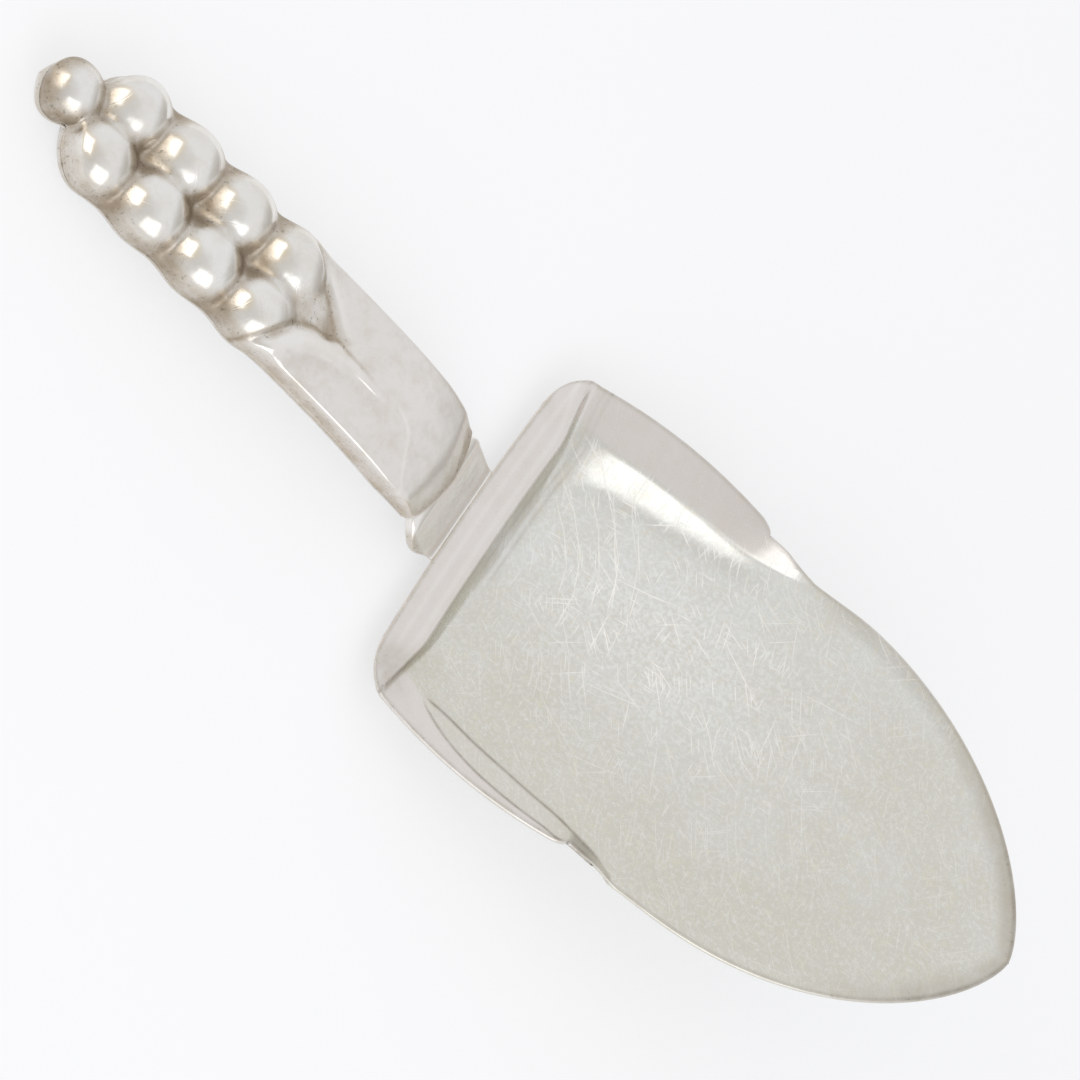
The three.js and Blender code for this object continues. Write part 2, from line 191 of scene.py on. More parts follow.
# %% Blade: rows along it
quarter = math.pi / 2
blade_rows = np.unique(np.round(np.concatenate([
    CORNER_LENGTH * (1 - np.cos(quarter * np.linspace(0, 1, 24))),
    np.linspace(CORNER_LENGTH, 11.0, 36),
    np.linspace(11.0, SHOULDER_AT, 60),
    SHOULDER_AT + (NOTCH_AT - SHOULDER_AT) * np.sin(quarter * np.linspace(0, 1, 20)),
    np.linspace(NOTCH_AT, BLADE_LENGTH - POINT_LENGTH, 20),
    BLADE_LENGTH - POINT_LENGTH * (1 - np.sin(quarter * np.linspace(0, 1, 64))),
]), 6))
print("blade rows:", len(blade_rows))

# %% [markdown]
# The side lip starts at a fold, and the fold is what the eye reads first: on the right a bright band of
# light ends on it, on the left it is a thin dark line. The columns of the grid follow it, so that the fold
# stays crisp where it runs askew to the blade's middle.

# %% Blade: columns that follow the fold of the side lip
half = blade_half_width(blade_rows)[:, None]
fold_at = [0, 12, 20, 30, 38, 46, 52]
fold_out = [23.6, 22.9, 23.6, 24.0, 24.3, 26.2, 28.6]
right_fold = smooth_line(blade_rows, fold_at, fold_out)[:, None]
left_fold = right_fold + (1.4 * ease(blade_rows, 5, 12) * (1 - ease(blade_rows, 38, 50)))[:, None]


def half_columns(fold, wall):
    """Places from the middle to one rim: an even pan, a finer wall up to the fold, and the lip beyond it."""
    fold = np.minimum(fold, 0.93 * half)
    foot = fold - np.minimum(wall, 0.04 * wall * half)
    lip_start = fold + np.minimum(1.0, 0.035 * half)
    even = np.linspace(0, 1, 34)
    lip_part = mix(np.sin(quarter * even), even, 0.6)
    return np.concatenate([
        foot * np.linspace(0, 1, 27),
        foot + (lip_start - foot) * np.linspace(0, 1, 33)[1:],
        lip_start + (half - lip_start) * lip_part[1:],
    ], axis=1)


y = np.concatenate([-half_columns(left_fold, 7.0)[:, :0:-1], half_columns(right_fold, 5.5)], axis=1)
s = blade_rows[:, None] + 0 * y
ridge = np.where(y < 0, left_fold, right_fold)
taper = np.where(blade_rows > NOTCH_AT + 0.5, np.gradient(half[:, 0], blade_rows), 0)[:, None]
to_side = (half - np.abs(y)) / np.hypot(1, taper)
to_edge = np.minimum(s, to_side)
print("blade grid:", s.shape)

# %% [markdown]
# The pan's floor is flat and rises towards the point. The back wall drops from a broad back lip in one
# curve. The side walls are plain slopes that fade out in front of the notch, the left one flatter than the
# right one. Where two walls meet, a sum of cubes joins them with a round corner, which stays below the
# level of the lips.

# %% Blade: relief above the rim plane
HEEL_DEPTH = 5.85
TIP_DEPTH = 0.7
BACK_LIP_WIDTH = 5.9
BACK_WALL_RUN = 4.6
CORNER_SWEEP = 2.6
SIDE_LIP_DROP = 1.6
SIDE_LIP_END_DROP = 2.3
LEFT_WALL_SLOPE = 0.5
RIGHT_WALL_SLOPE = 0.7
RIGHT_END_SLOPE = 0.4
UPTURN_WIDTH = 3.0
UPTURN_PART = 0.3

floor_height = mix(-HEEL_DEPTH, -TIP_DEPTH, s / BLADE_LENGTH)
left = ease(-y, 0, 6)
back_s = s + CORNER_SWEEP * ease(np.abs(y), 17, 30)
back_lip = 0.1 * bump(s, 4.2, 1.2) - 0.25 * ease(s, 0, 5)
back_run = BACK_WALL_RUN - 1.4 * ease(-y, 0, 22)
back_drop = 1 - np.clip(ramp(back_s - BACK_LIP_WIDTH, 0.12) / back_run, 0, 1)
back_bank = (back_lip - floor_height) * back_drop ** 3
past_ridge = np.abs(y) - ridge
lip_outline = LIP_HALF_WIDTH - LIP_BOW * (s - LIP_WIDEST) ** 2
rise = np.clip(past_ridge / np.maximum(lip_outline - ridge, 1), 0, 1)
lip_drop = mix(SIDE_LIP_DROP, SIDE_LIP_END_DROP, ease(s, 18, 42)) * (1 - rise)
right_slope = mix(RIGHT_END_SLOPE, RIGHT_WALL_SLOPE, ease(s, 8, 16) * (1 - ease(s, 33, 46)))
wall_slope = mix(right_slope, LEFT_WALL_SLOPE, left)
wall = -lip_drop - floor_height - wall_slope * ramp(-past_ridge, 0.15)
side_bank = ramp(wall, 0.6) * (1 - ease(s, 39, 51))
near_rim = np.clip(1 - to_side / UPTURN_WIDTH, 0, 1)
front_bank = -UPTURN_PART * floor_height * near_rim ** 2 * ease(s, 46, 62)
banks = (back_bank ** 3 + side_bank ** 3 + front_bank ** 3) ** (1 / 3)
lip_level = np.maximum(back_lip, -lip_drop) - floor_height
height = floor_height + banks - ramp(banks - lip_level - 0.3, 0.12)
print("relief from", height.min().round(2), "to", height.max().round(2))


# %% [markdown]
# The sheet's rim is rounded by wear. Near the outline the two skins of the sheet come together along a
# quarter circle, so no separate strip is needed to close it, and the rim catches a fine line of light.

# %% Blade: two skins
def tilted(run, across, high):
    """Turns points about the blade's back edge by the blade's tilt."""
    turn = np.array([math.cos(BLADE_TILT), math.sin(BLADE_TILT)])
    return np.stack([run * turn[0] - high * turn[1], across, run * turn[1] + high * turn[0]], axis=2)


back_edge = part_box("blade")[0].x / MM
bowed = s + BACK_BOW * (y / LIP_HALF_WIDTH) ** 2 * (1 - ease(s, 0, NOTCH_AT))
blade_skin = tilted(bowed, y, height)
blade_normal = normals_of(blade_skin)
rounding = 1 - np.clip(to_edge / (0.3 * BLADE_THICKNESS), 0, 1)
thick = 0.5 * BLADE_THICKNESS * np.sqrt(1 - rounding ** 2)[:, :, None]
blade_top = blade_skin - blade_normal * (0.5 * BLADE_THICKNESS - thick)
blade_under = blade_skin - blade_normal * (0.5 * BLADE_THICKNESS + thick)
rest = np.array([back_edge, 0, -blade_under[:, :, 2].min()])
lip_top = rest[2]
print("back edge at", round(back_edge, 2), "lip at", round(lip_top, 2))

# %% [markdown]
# Use leaves marks that follow the form, and painted light and shade are laid in with them. A thin dark line
# runs along the fold of the left lip and faintly along the right one, and a dark line and fine dark streaks
# run along the back wall. A second dark line nearer the left rim and a dark wedge in front of the notch are
# painted reflections; a grey band on the back wall, a dark patch in the left back corner, a brownish band and
# line inside the point and a dark line at the very rim are painted shade. Bright lines along the back lip are
# painted highlights. The lips keep few scratches, because the cake never reaches them, and get a pinkish tint
# that is a painted reflection. The middle of the pan has been scraped the most.

# %% Blade: masks
beyond_corner = ease(s, 9.5, 12)
fold_line = bump(past_ridge, 0, 0.22) * beyond_corner * (1 - ease(s, 42, 46)) * mix(0.1, 1.0, left)
# Painted reflections: a second dark line nearer the left rim, and a dark wedge in front of the notch.
lens_inset = smooth_line(s, [7, 9, 14, 20, 28, 35, 38], [6.2, 5.2, 3.4, 2.3, 1.6, 1.0, 0.3])
painted_reflection_line = 0.9 * bump(to_side - lens_inset, 0, 0.2) * left * beyond_corner * (1 - ease(s, 37, 38.5))
painted_dark_wedge = 0.7 * ease(past_ridge, -0.5, 0.1) * left * ease(s, 38.6, 39.6) * (1 - ease(s, 42, 46))
thin_lines = bump(back_s, 7.6, 0.2) + bump(back_s, 8.7, 0.2) + bump(back_s, 9.8, 0.25)
back_line = mix(0.5, 0.8, left) * bump(back_s, 6.15, 0.2) + 0.2 * thin_lines * (1 - left)
# Painted shade: a grey band on the back wall, a dark patch in the left back corner, a brownish band and line
# inside the point, and a dark line at the very rim.
painted_grey_band = ease(back_s, 5.8, 6.8) * (1 - ease(back_s, 9.5, 11.5)) * mix(1, 0.3, left)
painted_corner_shade = 0.35 * np.exp(-(((s - 3.2) / 3) ** 2) - (((y + 25) / 4) ** 2))
painted_tip_shade = 0.35 * bump(to_side, 1.2, 1.8) * ease(s, 74, 96) + 0.3 * bump(to_side, 0.5, 0.35) * ease(s, 84, 98)
painted_rim_shade = 0.35 * bump(to_edge, 0.3, 0.3)
pan_only = 1 - ease(past_ridge, -1.5, 0.5)
# Dark fold lines and streaks, painted reflections and painted shade go into one mask, which the silver paints
# brown.
blade_crease = fold_line + painted_reflection_line + painted_dark_wedge + back_line * (1 - 0.5 * ease(y, 15, 25))
blade_crease += 0.1 * painted_grey_band * pan_only + painted_corner_shade + painted_tip_shade + painted_rim_shade
# The lip mask marks the lips, which get few scratches and a pinkish tint that is a painted reflection.
right_lip = ease(past_ridge, -0.6, 1.2) * (1 - ease(s, 42, 50)) * (1 - left)
outside_lens = mix(0.25, 1, ease(lens_inset - to_side, -0.2, 0.2))
left_lip = outside_lens * ease(past_ridge, -0.2, 0.2) * (1 - ease(s, 40, 46)) * left
back_band = 1 - ease(back_s, 5.0, 7.0)
lip_mask = np.maximum(np.maximum(right_lip, left_lip), back_band)
# Painted highlights: bright lines along the back lip's ridge. The rim is brighter from wear.
painted_lip_highlight = 0.5 * bump(s, 2.3, 0.35) + 0.55 * bump(back_s, 4.5, 0.4) + 0.4 * bump(s, 0.5, 0.25)
rim_wear_and_lip_highlight = np.maximum(0.5 * bump(to_side, 0, 0.4), painted_lip_highlight)
scraped = np.exp(-(((s - 34) / 26) ** 2) - (((y - 7) / 15) ** 2)) * (1 - lip_mask) * (1 - 0.8 * painted_grey_band)
blade = sheet_object(
    "server_blade", blade_top + rest, blade_under + rest,
    crease=np.clip(blade_crease, 0, 1), worn=rim_wear_and_lip_highlight, lip=lip_mask, scraped=scraped,
)

# %% [markdown]
# ## The handle's line
#
# The handle rests on its tip, rises in a low arch and comes down to the neck. All its pieces follow one
# line, the height of the underside above the table, so they are written in distances from the blade's back
# edge.

# %% Handle: stations and lines
NECK_LENGTH = 8.0
LEAF_LENGTH = 39.0
GRAPE_ROWS = 4
GRAPE_PITCH = 10.4
GRAPE_ACROSS = 9.4
TIP_GRAPE_REACH = 8.5
TIP_HALF_WIDTH = 4.6
BUNCH_HALF_WIDTH = 9.2
ARCH_RISE = 5.2
ARCH_CREST = 20.0
SEAM_HEIGHT = 2.1
SHELL_THICKNESS = 0.85
LEAF_HALF_WIDTH = 8.7
LEAF_END_HALF_WIDTH = 8.0

leaf_end = -NECK_LENGTH
last_row = leaf_end - LEAF_LENGTH
first_row = last_row - (GRAPE_ROWS - 1) * GRAPE_PITCH
tip_grape = first_row - TIP_GRAPE_REACH
handle_tip = tip_grape - TIP_HALF_WIDTH
crest = leaf_end - ARCH_CREST
middle_row = (first_row + last_row) / 2


def underside(x):
    """Height of the handle's underside: level at the tip, an arch, and down to the blade's back edge."""
    places = [handle_tip, tip_grape, middle_row, crest, leaf_end, 0]
    heel = lip_top - BLADE_THICKNESS
    values = [0, 0, 0.46 * ARCH_RISE, ARCH_RISE, heel + 0.25 * ARCH_RISE, heel]
    return np.maximum(0, smooth_line(x, places, values))


def seam(x):
    """Height of the seam between the two stampings."""
    return underside(x) + SEAM_HEIGHT * (1 - 0.3 * ease(x, leaf_end - 10, leaf_end))


print("handle from", round(handle_tip, 1), "to", leaf_end)

# %% [markdown]
# ## The front stamping
#
# Nine grapes, a tucked one and two leaves were pressed into one sheet. Seen from above it is a height for
# every place: caps of large spheres run into each other, and fillets fill the valleys as they do in pressed
# metal. The outline is gently scalloped by the outer grapes. A squared arch brings the edges down to the
# seam.

# %% Front stamping: outline and grid
def handle_half_width(x):
    """Half the width in plan: the round tip, the scalloped bunch and the narrowing leaves."""
    tip = np.sqrt(np.maximum(0, TIP_HALF_WIDTH ** 2 - (x - tip_grape) ** 2))
    start = np.clip((first_row + 2.0 - x) / 7.6, 0, 1)
    wave = 0.3 * np.cos(2 * math.pi * (x - first_row) / GRAPE_PITCH)
    scallop = wave * (1 - ease(x, last_row, last_row + 7))
    body = mix(BUNCH_HALF_WIDTH, LEAF_HALF_WIDTH, ease(x, last_row, last_row + 8)) + scallop
    narrow = (LEAF_HALF_WIDTH - LEAF_END_HALF_WIDTH) * ease(x, leaf_end - 10, leaf_end)
    bunch = (body - narrow) * (1 - start ** 2.6) ** (1 / 2.6)
    return (tip ** 7 + bunch ** 7) ** (1 / 7)


def squared_arch(count, power):
    """Even places along the arch |side|^p + crown^p = 1, from one seam to the other."""
    turn = np.linspace(0, math.pi, 6000)
    side = -np.sign(np.cos(turn)) * np.abs(np.cos(turn)) ** (2 / power)
    crown = np.abs(np.sin(turn)) ** (2 / power)
    step = np.hypot(np.diff(side) * 9.0, np.diff(crown) * 4.0)
    length = np.concatenate([[0], np.cumsum(step)])
    even = np.linspace(0, length[-1], count)
    return np.interp(even, length, side), np.interp(even, length, crown)


front_rows = np.concatenate([
    tip_grape - TIP_HALF_WIDTH * np.cos(quarter * np.linspace(0, 1, 26)),
    np.linspace(tip_grape, leaf_end - 0.6, 275)[1:],
])
arch_side = squared_arch(131, 7)[0]
x = front_rows[:, None] + 0 * arch_side[None, :]
outline = handle_half_width(front_rows)[:, None]
y = outline * arch_side[None, :]
print("front grid:", x.shape, "widest:", outline.max().round(2))

# %% [markdown]
# The left leaf starts in a rolled edge under the grapes and is hollow like a trough. The right leaf lies
# over it: its edge comes down from the right side, runs along the middle and sweeps across to the left,
# with a thin raised rim. The distance from each of these edges drives a step, a rim or a roll.

# %% Front stamping: leaves
LEAF_BED = 6.1
right_edge_x = np.array([-49.0, -46.3, -41.0, -36.0, -30.0, -25.0, -21.3, -19.0, -17.0, -14.1, -12.6])
right_edge_y = np.array([9.8, 7.9, 4.5, 0.95, 0.4, 0.1, -0.7, -1.9, -5.1, -9.0, -10.5])
left_top_y = np.array([-9.5, -6.3, -3.4, -1.5, -0.4, 1.5, 9.5])
left_top_x = np.array([-46.8, -45.3, -43.1, -40.1, -36.6, -34.0, -31.0])

edge_y = smooth_line(x, right_edge_x, right_edge_y)
edge_slope = np.gradient(edge_y[:, 0], front_rows)[:, None]
from_right_edge = (y - edge_y) / np.hypot(1, edge_slope)
top_line = smooth_line(y, left_top_y, left_top_x)
top_slope = (smooth_line(y + 0.1, left_top_y, left_top_x) - top_line) / 0.1
from_left_top = (x - top_line) / np.hypot(1, top_slope)

leaf_line = underside(x) + smooth_line(x, [crest, leaf_end - 5, leaf_end], [LEAF_BED, 0.94 * LEAF_BED, 3.5])
inset = np.clip((edge_y - y) / (edge_y + LEAF_HALF_WIDTH + 0.1), 0, 1)
trough = 0.1 * np.sin(math.pi * inset ** 0.8) ** 2 * ease(from_left_top, 1.5, 7) * (1 - ease(x, -24, -14))
roll = 1.0 * bump(from_left_top, 2.2, 1.9) * (1 - 0.8 * ease(y, -5.0, -0.5)) * (1 - ease(y, -1.0, 2.0))
left_leaf = leaf_line + 0.03 - trough + roll
right_rim = 0.14 * bump(from_right_edge, 0.9, 0.8) * (1 - ease(x, -35, -28))
right_leaf = leaf_line + 0.1 + right_rim - 0.3 * ease(y, 3, 8.7)
print("leaf height at the crest:", leaf_line[np.abs(front_rows - crest).argmin(), 0].round(2))

# %% [markdown]
# Each grape is a sphere's cap. Beyond the place where the cap gets steep it runs on as a cone, so that four
# neighbours meet in a smooth pit. The caps are joined one after another with a fillet, and the leaves cover
# what lies under them.

# %% Front stamping: grapes, then the whole height
GRAPE_LEVEL = 2.0
GRAPE_RADIUS = 6.2
TIP_GRAPE_LEVEL = 2.6
TIP_GRAPE_RADIUS = 5.0
GRAPE_BED = 2.4
LEAF_CORNER_BED = 5.3
VALLEY_FILLET = 1.0

row_x = first_row + GRAPE_PITCH * np.arange(GRAPE_ROWS)
grapes = [(tip_grape, 0, TIP_GRAPE_LEVEL, TIP_GRAPE_RADIUS), (last_row + 5.6, 0.8, 0.5, 5.6)]
pair_y = (-0.5 * GRAPE_ACROSS, 0.5 * GRAPE_ACROSS)
grapes += [(gx, gy, GRAPE_LEVEL, GRAPE_RADIUS) for gx in row_x for gy in pair_y]


def cap(gx, gy, level, radius):
    """Height of one grape above the table: a sphere's cap that runs on as a cone where it gets steep."""
    away = np.hypot(x - gx, y - gy)
    reach = 0.84 * radius
    dome = np.sqrt(radius ** 2 - np.minimum(away, reach) ** 2)
    steepness = reach / math.sqrt(radius ** 2 - reach ** 2)
    return underside(np.array(gx)) + level + dome - steepness * np.maximum(0, away - reach)


bunch = underside(x) + mix(GRAPE_BED, LEAF_CORNER_BED, ease(x, last_row + 2, last_row + 7))
for grape in grapes:
    bunch = soft_max(bunch, cap(*grape), VALLEY_FILLET)
left_part = ease(from_left_top, -0.7, 0.7)
soft = mix(0.7, 2.4, ease(x, -41, -34))
right_part = ease(from_right_edge, -soft, soft) * ease(x, -49, -46)
top = mix(mix(bunch, left_leaf, left_part), right_leaf, right_part)
power = mix(7, 20, ease(x, last_row, last_row + 9))
crown = np.maximum(0, 1 - np.abs(arch_side[None, :]) ** power) ** (1 / power)
front_height = seam(x) + crown * (top - seam(x))
print("highest point:", front_height.max().round(2))

# %% [markdown]
# Dirt stays where a cloth can't reach, and painted shade goes with it. A mask of hollows comes from the
# height itself: a place that lies deep below the grapes' tops, or lower than its surroundings, is dark, and
# so are the steep sides down to the seam, where the darkening is painted shade. One that lies higher is
# bright from polishing. The rolled top of the left leaf and the edges of the right leaf get painted
# highlights, and the facet at the end of the right leaf a painted shade.

# %% Front stamping: two skins and masks
def blurred(field, rows, columns):
    """The field averaged over a window of rows and columns, by running sums."""
    for axis, reach in ((0, rows), (1, columns)):
        pad = [(0, 0), (0, 0)]
        pad[axis] = (reach + 1, reach)
        total = np.cumsum(np.pad(field, pad, mode="edge"), axis=axis)
        width = field.shape[axis]
        high = np.take(total, np.arange(width) + 2 * reach + 1, axis=axis)
        low = np.take(total, np.arange(width), axis=axis)
        field = (high - low) / (2 * reach + 1)
    return field


def drawn_in(grid, level, sheet):
    """The inner skin: each section drawn in towards the middle of the seam by the sheet's thickness."""
    offset = grid - np.stack([grid[:, :, 0], 0 * level, level], axis=2)
    out = np.linalg.norm(offset, axis=2, keepdims=True)
    inside = grid - offset * sheet / (out + sheet)
    inside[:, :, 0] = leaf_end - (leaf_end - inside[:, :, 0]) * (1 - sheet / (leaf_end - handle_tip))
    return inside


TIP_TUCK = 0.9
SEAM_GAP = 0.05
LEAF_END_BOW = 1.9
tuck = TIP_TUCK * ease(tip_grape - x, 0, TIP_HALF_WIDTH) * (1 - crown)
end_bow = LEAF_END_BOW * (1 - arch_side[None, :] ** 2) * ease(x, leaf_end - 9, leaf_end)
front_outer = np.stack([x + tuck + end_bow, y, front_height], axis=2)
front_inner = drawn_in(front_outer, seam(x), SHELL_THICKNESS)
lift = np.array([back_edge, 0, 0.5 * SEAM_GAP])
below_grapes = underside(x) + GRAPE_LEVEL + GRAPE_RADIUS - top
on_leaf = np.maximum(left_part, right_part)
sunk = ease(below_grapes, 0.9, 3.4) * (1 - on_leaf)
dip = np.clip((blurred(top, 9, 12) - top) / 1.2, 0, 1)
# The steep sides down to the seam are darkened as painted shade; hollows and pits get dirt.
hollow_dirt_and_shade = np.maximum(np.maximum(sunk, dip), 0.6 * (1 - crown) ** 0.7)
step_line = bump(from_left_top, -0.5, 0.35) * (1 - ease(y, 1, 2)) * ease(edge_y - y, 0, 1)
edge_line = bump(from_right_edge, -0.5, 0.3) * ease(x, -48, -44) * (1 - ease(x, -34, -26))
# Painted shade on the facet at the end of the right leaf.
painted_facet_shade = 0.3 * ease(x + 0.3 * (y - 8), -11.6, -10.9) * ease(y, -3, 1)
hollow_dirt_and_shade = np.clip(hollow_dirt_and_shade + 0.5 * step_line + 0.4 * edge_line + painted_facet_shade, 0, 1)
polish_and_highlight = np.clip((top - blurred(top, 5, 6)) / 0.3, 0, 1)
# Painted highlights on the rolled top of the left leaf and along the edges of the right leaf.
painted_roll_highlight = bump(from_left_top, 1.8, 1.5) * (1 - ease(y, -4, 3)) * ease(edge_y - y, 0, 1)
painted_band_highlight = bump(from_right_edge, 0.9, 0.8) * ease(x, -48, -45) * (1 - ease(x, -36, -31))
painted_end_highlight = bump(from_right_edge, 0.3, 0.3) * ease(x, -24, -21) * (1 - ease(x, -14, -12.5))
polish_and_highlight = np.maximum(polish_and_highlight, np.maximum(painted_roll_highlight, np.maximum(0.8 * painted_band_highlight, painted_end_highlight)))
# The leaves share the lips' pinkish tint, a painted reflection.
handle_front = sheet_object(
    "grape_handle_front", front_outer + lift, front_inner + lift,
    crease=hollow_dirt_and_shade, worn=polish_and_highlight, lip=0.6 * on_leaf, scraped=0 * x,
)

# %% [markdown]
# ## The back stamping
#
# The back is plain: a shallow tray with a flat middle, turned up to the same seam.

# %% Back stamping
tray_side, tray_crown = squared_arch(81, 4)
x = front_rows[::2, None] + 0 * tray_side[None, :]
y = -handle_half_width(front_rows[::2])[:, None] * tray_side[None, :]
drop = (seam(x) - underside(x)) * tray_crown[None, :]
tuck = TIP_TUCK * ease(tip_grape - x, 0, TIP_HALF_WIDTH)
back_outer = np.stack([x + tuck, y, seam(x) - drop], axis=2)
back_inner = drawn_in(back_outer, seam(x), SHELL_THICKNESS)
# Darker towards the seam.
seam_side_darkening = 0.4 * (1 - tray_crown[None, :]) + 0 * x
lift = np.array([back_edge, 0, -0.5 * SEAM_GAP])
back_outer[:, :, 2] = np.maximum(back_outer[:, :, 2], 0.5 * SEAM_GAP)
handle_back = sheet_object(
    "plain_handle_back", back_outer + lift, back_inner + lift,
    crease=seam_side_darkening, worn=0 * x, lip=0 * x, scraped=0 * x,
)

# %% [markdown]
# ## The neck
#
# The neck is a solid bar: it plugs into the handle, widens in a round shoulder on each side and runs out to
# the blade's back edge. It is a closed section carried along X, with a point at each end to close it.

# %% Neck
neck_x = np.linspace(leaf_end - 4, 0.3, 120)
neck_half = smooth_line(neck_x, [-12, -9, -7.4, -5.4, -3.4, -1.4, 0.3], [6.2, 7.0, 8.3, 9.2, 9.1, 8.4, 8.2])
neck_low = underside(neck_x) + 0.9 * (1 - ease(neck_x, leaf_end - 1, leaf_end + 1))
neck_tops = [6.5, 6.75, 6.4, lip_top + 2.0, lip_top + 0.6, lip_top - 0.1]
neck_high = smooth_line(neck_x, [-12, -8.5, -6.5, -4.5, -1.5, 0], neck_tops)
neck_shift = -0.7 * bump(neck_x, -4.0, 2.8)
around = np.linspace(0, 2 * math.pi, 97)
round_y = np.sign(np.cos(around)) * np.abs(np.cos(around)) ** 0.45
round_z = np.sign(np.sin(around)) * np.abs(np.sin(around)) ** 0.45
middle = (neck_low + neck_high) / 2
tall = (neck_high - neck_low) / 2
neck_grid = np.stack([
    neck_x[:, None] + 0 * round_y,
    neck_shift[:, None] + neck_half[:, None] * round_y,
    middle[:, None] + tall[:, None] * round_z,
], axis=2)
caps = np.stack([neck_x, 0 * neck_x, middle], axis=1)
ends = np.concatenate([
    np.broadcast_to(caps[:1, None], (1, 97, 3)), neck_grid, np.broadcast_to(caps[-1:, None], (1, 97, 3)),
])
print("neck sections:", len(neck_x))


def tube_object(name, grid, **masks):
    """A closed tube from a grid whose last column repeats its first and whose end rows are single points."""
    rows, columns = grid.shape[:2]
    index = np.arange(rows * columns).reshape(rows, columns)
    index[:, -1] = index[:, 0]
    index[0, :] = index[0, 0]
    index[-1, :] = index[-1, 0]
    faces = quads_of(index)
    used, faces = np.unique(faces, return_inverse=True)
    faces = faces.reshape(-1, 4)
    mesh = bpy.data.meshes.new(name)
    points = grid.reshape(-1, 3)[used] * MM
    mesh.from_pydata(points.tolist(), [], [list(dict.fromkeys(face)) for face in faces.tolist()])
    mesh.validate()
    mesh.shade_smooth()
    for mask_name, mask in masks.items():
        layer = mesh.attributes.new(mask_name, "FLOAT", "POINT")
        layer.data.foreach_set("value", mask.reshape(-1)[used].astype(np.float32))
    piece = bpy.data.objects.new(name, mesh)
    scene.collection.objects.link(piece)
    print(name, "points:", len(mesh.vertices), "faces:", len(mesh.polygons))
    return piece


ends = ends + np.array([back_edge, 0, 0])
neck_y = ends[:, :, 1]
after_leaf = ends[:, :, 0] - back_edge - (leaf_end - 0.6 + LEAF_END_BOW * (1 - (neck_y / 8) ** 2))
# Darker on the outer sides of the shoulders, and in a line at the joint behind the leaf's end.
side_darkening = 0.3 * ease(np.abs(neck_y), 8.4, 9.4)
neck_darkening = np.clip(side_darkening + 0.25 * bump(after_leaf, 0.1, 0.3), 0, 1)
# The whole neck is made lighter by painted light, and takes part of the lips' pinkish painted reflection.
neck = tube_object(
    "neck_bar", ends, crease=neck_darkening, worn=0 * neck_y + 1, lip=0 * neck_y + 0.4, scraped=0 * neck_y,
)

# %% [markdown]
# ## Old silver
#
# A material is a tree of nodes. A few helpers keep each line of the tree short: one adds a node and fills
# its sockets, the others are the sums, blends, ranges and noises that are used again and again.

# %% Material helpers
def add(tree, kind, inputs=None, **settings):
    """A shader node with its settings, and with each input set to a value or linked to another output."""
    made = tree.nodes.new(kind)
    for name, value in settings.items():
        setattr(made, name, value)
    for name, value in (inputs or {}).items():
        if isinstance(value, bpy.types.NodeSocket):
            tree.links.new(value, made.inputs[name])
        else:
            made.inputs[name].default_value = value
    return made


def maths(tree, operation, a, b=0.0):
    """One sum on two numbers or outputs, kept between 0 and 1."""
    return add(tree, "ShaderNodeMath", {0: a, 1: b}, operation=operation, use_clamp=True).outputs[0]


def blended(tree, part, a, b):
    """Colour a turning into colour b by part."""
    made = add(tree, "ShaderNodeMix", {"Factor": part}, data_type="RGBA")
    for name, value in ((6, a), (7, b)):
        if isinstance(value, bpy.types.NodeSocket):
            tree.links.new(value, made.inputs[name])
        else:
            made.inputs[name].default_value = (*value, 1)
    return made.outputs[2]


def remapped(tree, value, low, high, to_low=0.0, to_high=1.0):
    """A number from one range carried to another, and held at its ends."""
    made = add(tree, "ShaderNodeMapRange", {
        "Value": value, "From Min": low, "From Max": high, "To Min": to_low, "To Max": to_high,
    })
    return made.outputs[0]


def cloudy(tree, place, scale, detail, roughness=0.6):
    """Noise with about that many clouds in a millimetre."""
    made = add(tree, "ShaderNodeTexNoise", {
        "Vector": place, "Scale": scale, "Detail": detail, "Roughness": roughness,
    })
    return made.outputs["Fac"]


# %% [markdown]
# Use has covered the silver with fine scratches, each too thin to see as a groove but bright because it
# throws light in all directions. Every layer is a pattern of cells that are stretched until they are hair
# thin, so that each stroke has a start and an end. Only a part of the cells has a stroke.

# %% Scratches
def scratch_layer(tree, place, angle, length, width, part):
    """Hair lines of one direction: stretched cells, of which a part has a stroke of its own brightness."""
    turned = add(tree, "ShaderNodeMapping", {
        "Vector": place, "Rotation": (0, 0, math.radians(angle)), "Scale": (length, width, 1),
    }, vector_type="TEXTURE")
    cells = add(tree, "ShaderNodeTexVoronoi", {
        "Vector": turned.outputs[0], "Scale": 1.0,
    }, voronoi_dimensions="2D")
    stroke = remapped(tree, cells.outputs["Distance"], 0.1, 0.22, 1, 0)
    shade = add(tree, "ShaderNodeSeparateColor", {"Color": cells.outputs["Color"]}).outputs[0]
    return maths(tree, "MULTIPLY", stroke, remapped(tree, shade, 1 - part, 1 - 0.3 * part))


def scratch_mask(tree, place, layers):
    """All scratch layers together, on a place that is bent a little so that the strokes are not straight."""
    sway = add(tree, "ShaderNodeTexNoise", {"Vector": place, "Scale": 0.06, "Detail": 1.0})
    bend = add(tree, "ShaderNodeVectorMath", {0: sway.outputs["Color"], 1: (3, 3, 0)}, operation="MULTIPLY")
    bent = add(tree, "ShaderNodeVectorMath", {0: place, 1: bend.outputs[0]}, operation="ADD").outputs[0]
    mask = None
    for angle, length, width, part in layers:
        layer = scratch_layer(tree, bent, angle, length, width, part)
        mask = layer if mask is None else maths(tree, "MAXIMUM", mask, layer)
    return mask
